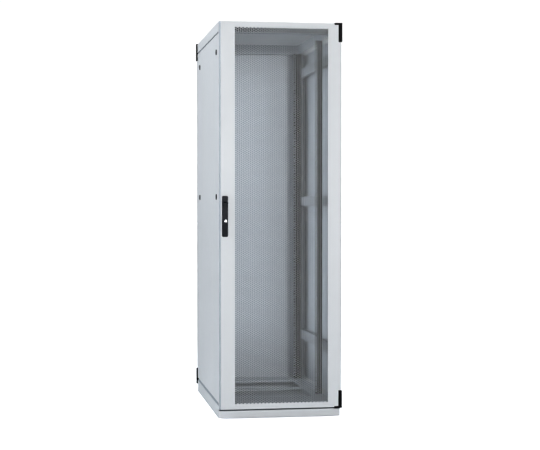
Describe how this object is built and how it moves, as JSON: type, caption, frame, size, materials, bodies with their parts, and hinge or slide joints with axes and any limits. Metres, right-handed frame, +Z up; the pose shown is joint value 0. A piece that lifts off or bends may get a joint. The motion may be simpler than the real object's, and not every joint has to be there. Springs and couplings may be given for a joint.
{
  "type": "server rack cabinet",
  "caption": "Free-standing network server rack cabinet with a perforated front door, a plain rear door, swing handles with rod locks, lift-off side panels and nineteen-inch rails.",
  "frame": {"origin": "on the floor, under the middle of the cabinet's bounding box", "axes": "+X to the right seen from the front, +Y to the rear, +Z up; the front door's face is the plane Y = -0.5 m"},
  "size_m": [0.612, 1.0274, 1.92],
  "materials": {
    "powder_coat": "fine-textured light grey powder coat",
    "frame_paint": "light grey powder coat, inner body",
    "rail_black": "satin black powder coat",
    "hinge_black": "black coated die casting",
    "handle_black": "black moulded handle",
    "chrome": "bright lock plug",
    "zinc": "zinc-plated steel",
    "seal_foam": "closed-cell foam",
    "edge_rubber": "moulded edge strip"
  },
  "bodies": {
    "cabinet": {"bottom_frame": "frame_paint", "top_frame": "frame_paint", "front_posts": "frame_paint", "rear_posts": "frame_paint", "right_braces": "frame_paint", "left_braces": "frame_paint", "latch_catches": "zinc", "panel_tabs": "frame_paint", "roof_panel": "powder_coat", "roof_cable_trim": "edge_rubber", "floor_plate": "frame_paint", "front_rail_left": "rail_black", "front_rail_right": "rail_black", "rear_rail_left": "rail_black", "rear_rail_right": "rail_black", "earth_stud": "zinc", "hinge_brackets": "hinge_black", "hinge_pins": "zinc", "hinge_screws": "hinge_black", "rod_keepers": "zinc"},
    "front_door": {"front_door_shell": "powder_coat", "front_door_mesh": "powder_coat", "front_door_inner_frame": "powder_coat", "front_door_seal": "seal_foam", "front_door_knuckles": "hinge_black", "front_handle_base": "handle_black", "front_rod_guides": "handle_black"},
    "front_spindle": {"front_handle_spindle": "handle_black"},
    "front_lever": {"front_handle_lever": "handle_black"},
    "front_key": {"front_key_plug": "chrome"},
    "front_upper_lock_rod": {"front_upper_rod": "zinc"},
    "front_lower_lock_rod": {"front_lower_rod": "zinc"},
    "rear_door": {"rear_door_shell": "powder_coat", "rear_door_inner_frame": "powder_coat", "rear_door_seal": "seal_foam", "rear_door_knuckles": "hinge_black", "rear_handle_base": "handle_black", "rear_rod_guides": "handle_black"},
    "rear_spindle": {"rear_handle_spindle": "handle_black"},
    "rear_lever": {"rear_handle_lever": "handle_black"},
    "rear_key": {"rear_key_plug": "chrome"},
    "rear_upper_lock_rod": {"rear_upper_rod": "zinc"},
    "rear_lower_lock_rod": {"rear_lower_rod": "zinc"},
    "left_panel": {"side_panel_left": "powder_coat"},
    "right_panel": {"side_panel_right": "powder_coat"},
    "latch_left_upper_front_turn": {"latch_left_upper_front": "handle_black"},
    "latch_left_upper_rear_turn": {"latch_left_upper_rear": "handle_black"},
    "latch_left_middle_front_turn": {"latch_left_middle_front": "handle_black"},
    "latch_left_middle_rear_turn": {"latch_left_middle_rear": "handle_black"},
    "latch_right_upper_front_turn": {"latch_right_upper_front": "handle_black"},
    "latch_right_upper_rear_turn": {"latch_right_upper_rear": "handle_black"},
    "latch_right_middle_front_turn": {"latch_right_middle_front": "handle_black"},
    "latch_right_middle_rear_turn": {"latch_right_middle_rear": "handle_black"},
    "front_left_foot": {"foot_front_left": "zinc"},
    "front_right_foot": {"foot_front_right": "zinc"},
    "rear_left_foot": {"foot_rear_left": "zinc"},
    "rear_right_foot": {"foot_rear_right": "zinc"},
    "floor_cover": {"floor_slide": "frame_paint"}
  },
  "joints": [
    {"name": "front_door_hinge", "type": "hinge", "parent": "cabinet", "child": "front_door", "pos_m": [0.297, -0.489, 0.95], "axis": [0, 0, 1], "range_deg": [0, 180]},
    {"name": "front_handle_turn", "type": "hinge", "parent": "front_door", "child": "front_spindle", "pos_m": [-0.2715, -0.49, 1.058], "axis": [0, -1, 0], "range_deg": [0, 90]},
    {"name": "front_handle_lift", "type": "hinge", "parent": "front_spindle", "child": "front_lever", "pos_m": [-0.2715, -0.5075, 1.042], "axis": [-1, 0, 0], "range_deg": [0, 35]},
    {"name": "front_key_turn", "type": "hinge", "parent": "front_lever", "child": "front_key", "pos_m": [-0.2695, -0.508, 0.957], "axis": [0, -1, 0], "range_deg": [0, 90]},
    {"name": "front_upper_rod_slide", "type": "slide", "parent": "front_door", "child": "front_upper_lock_rod", "axis": [0, 0, -1], "range_m": [0, 0.01257]},
    {"name": "front_lower_rod_slide", "type": "slide", "parent": "front_door", "child": "front_lower_lock_rod", "axis": [0, 0, 1], "range_m": [0, 0.01257]},
    {"name": "rear_door_hinge", "type": "hinge", "parent": "cabinet", "child": "rear_door", "pos_m": [-0.297, 0.489, 0.95], "axis": [0, 0, 1], "range_deg": [0, 180]},
    {"name": "rear_handle_turn", "type": "hinge", "parent": "rear_door", "child": "rear_spindle", "pos_m": [0.2715, 0.49, 1.058], "axis": [0, 1, 0], "range_deg": [0, 90]},
    {"name": "rear_handle_lift", "type": "hinge", "parent": "rear_spindle", "child": "rear_lever", "pos_m": [0.2715, 0.5075, 1.042], "axis": [1, 0, 0], "range_deg": [0, 35]},
    {"name": "rear_key_turn", "type": "hinge", "parent": "rear_lever", "child": "rear_key", "pos_m": [0.2695, 0.508, 0.957], "axis": [0, 1, 0], "range_deg": [0, 90]},
    {"name": "rear_upper_rod_slide", "type": "slide", "parent": "rear_door", "child": "rear_upper_lock_rod", "axis": [0, 0, -1], "range_m": [0, 0.01257]},
    {"name": "rear_lower_rod_slide", "type": "slide", "parent": "rear_door", "child": "rear_lower_lock_rod", "axis": [0, 0, 1], "range_m": [0, 0.01257]},
    {"name": "left_panel_slide", "type": "slide", "parent": "cabinet", "child": "left_panel", "axis": [-1, 0, 0], "range_m": [0, 0.25]},
    {"name": "right_panel_slide", "type": "slide", "parent": "cabinet", "child": "right_panel", "axis": [1, 0, 0], "range_m": [0, 0.25]},
    {"name": "latch_left_upper_front_quarter_turn", "type": "hinge", "parent": "left_panel", "child": "latch_left_upper_front_turn", "pos_m": [-0.296, -0.396, 1.778], "axis": [-1, 0, 0], "range_deg": [0, 90]},
    {"name": "latch_left_upper_rear_quarter_turn", "type": "hinge", "parent": "left_panel", "child": "latch_left_upper_rear_turn", "pos_m": [-0.296, 0.345, 1.778], "axis": [-1, 0, 0], "range_deg": [0, 90]},
    {"name": "latch_left_middle_front_quarter_turn", "type": "hinge", "parent": "left_panel", "child": "latch_left_middle_front_turn", "pos_m": [-0.296, -0.396, 1.073], "axis": [-1, 0, 0], "range_deg": [0, 90]},
    {"name": "latch_left_middle_rear_quarter_turn", "type": "hinge", "parent": "left_panel", "child": "latch_left_middle_rear_turn", "pos_m": [-0.296, 0.345, 1.073], "axis": [-1, 0, 0], "range_deg": [0, 90]},
    {"name": "latch_right_upper_front_quarter_turn", "type": "hinge", "parent": "right_panel", "child": "latch_right_upper_front_turn", "pos_m": [0.296, -0.396, 1.778], "axis": [1, 0, 0], "range_deg": [0, 90]},
    {"name": "latch_right_upper_rear_quarter_turn", "type": "hinge", "parent": "right_panel", "child": "latch_right_upper_rear_turn", "pos_m": [0.296, 0.345, 1.778], "axis": [1, 0, 0], "range_deg": [0, 90]},
    {"name": "latch_right_middle_front_quarter_turn", "type": "hinge", "parent": "right_panel", "child": "latch_right_middle_front_turn", "pos_m": [0.296, -0.396, 1.073], "axis": [1, 0, 0], "range_deg": [0, 90]},
    {"name": "latch_right_middle_rear_quarter_turn", "type": "hinge", "parent": "right_panel", "child": "latch_right_middle_rear_turn", "pos_m": [0.296, 0.345, 1.073], "axis": [1, 0, 0], "range_deg": [0, 90]},
    {"name": "front_left_foot_screw", "type": "slide", "parent": "cabinet", "child": "front_left_foot", "axis": [0, 0, -1], "range_m": [0, 0.025]},
    {"name": "front_right_foot_screw", "type": "slide", "parent": "cabinet", "child": "front_right_foot", "axis": [0, 0, -1], "range_m": [0, 0.025]},
    {"name": "rear_left_foot_screw", "type": "slide", "parent": "cabinet", "child": "rear_left_foot", "axis": [0, 0, -1], "range_m": [0, 0.025]},
    {"name": "rear_right_foot_screw", "type": "slide", "parent": "cabinet", "child": "rear_right_foot", "axis": [0, 0, -1], "range_m": [0, 0.025]},
    {"name": "floor_cover_slide", "type": "slide", "parent": "cabinet", "child": "floor_cover", "axis": [0, -1, 0], "range_m": [0, 0.19]}
  ],
  "couplings": [
    {"joint": "front_upper_rod_slide", "follows": "front_handle_turn", "m_per_rad": 0.008},
    {"joint": "front_lower_rod_slide", "follows": "front_handle_turn", "m_per_rad": 0.008},
    {"joint": "rear_upper_rod_slide", "follows": "rear_handle_turn", "m_per_rad": 0.008},
    {"joint": "rear_lower_rod_slide", "follows": "rear_handle_turn", "m_per_rad": 0.008}
  ]
}
